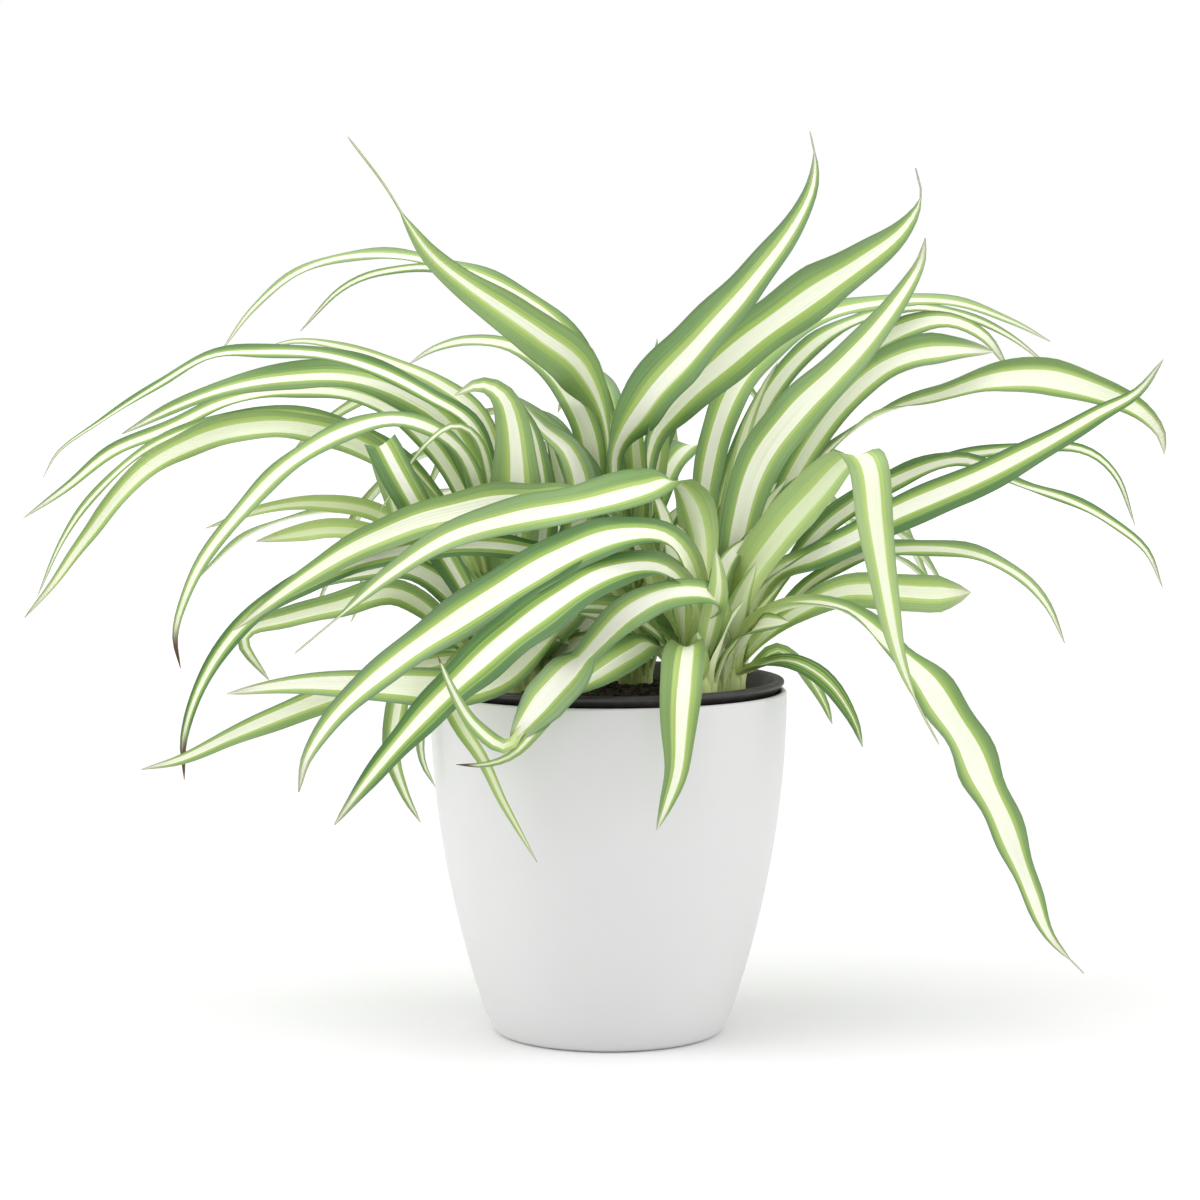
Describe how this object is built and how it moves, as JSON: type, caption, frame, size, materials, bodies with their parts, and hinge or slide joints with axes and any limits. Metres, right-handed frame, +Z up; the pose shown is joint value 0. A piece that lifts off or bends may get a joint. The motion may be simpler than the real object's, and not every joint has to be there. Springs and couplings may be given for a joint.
{
  "type": "potted spider plant",
  "caption": "Spider plant with long arching cream-striped leaves, growing in soil in a grower's pot that stands in a round tapered cover pot.",
  "frame": {"origin": "centre of the cover pot's flat underside", "axes": "+Z up along the pot's axis, -Y towards the viewer of the plant's front, +X to the right seen from the front"},
  "size_m": [0.452, 0.3164, 0.3505],
  "materials": {
    "cover_pot": "smooth white plastic with a soft satin sheen",
    "growers_pot": "thin dark thermoformed plastic",
    "soil": "dark, crumbly potting compost",
    "leaf": "green leaf with a broad cream stripe along the midrib, waxy satin"
  },
  "bodies": {
    "root": {"cover_pot": "cover_pot", "growers_pot": "growers_pot", "soil": "soil", "shoot_front": "leaf", "shoot_right": "leaf", "shoot_back": "leaf", "shoot_left": "leaf"}
  },
  "joints": []
}
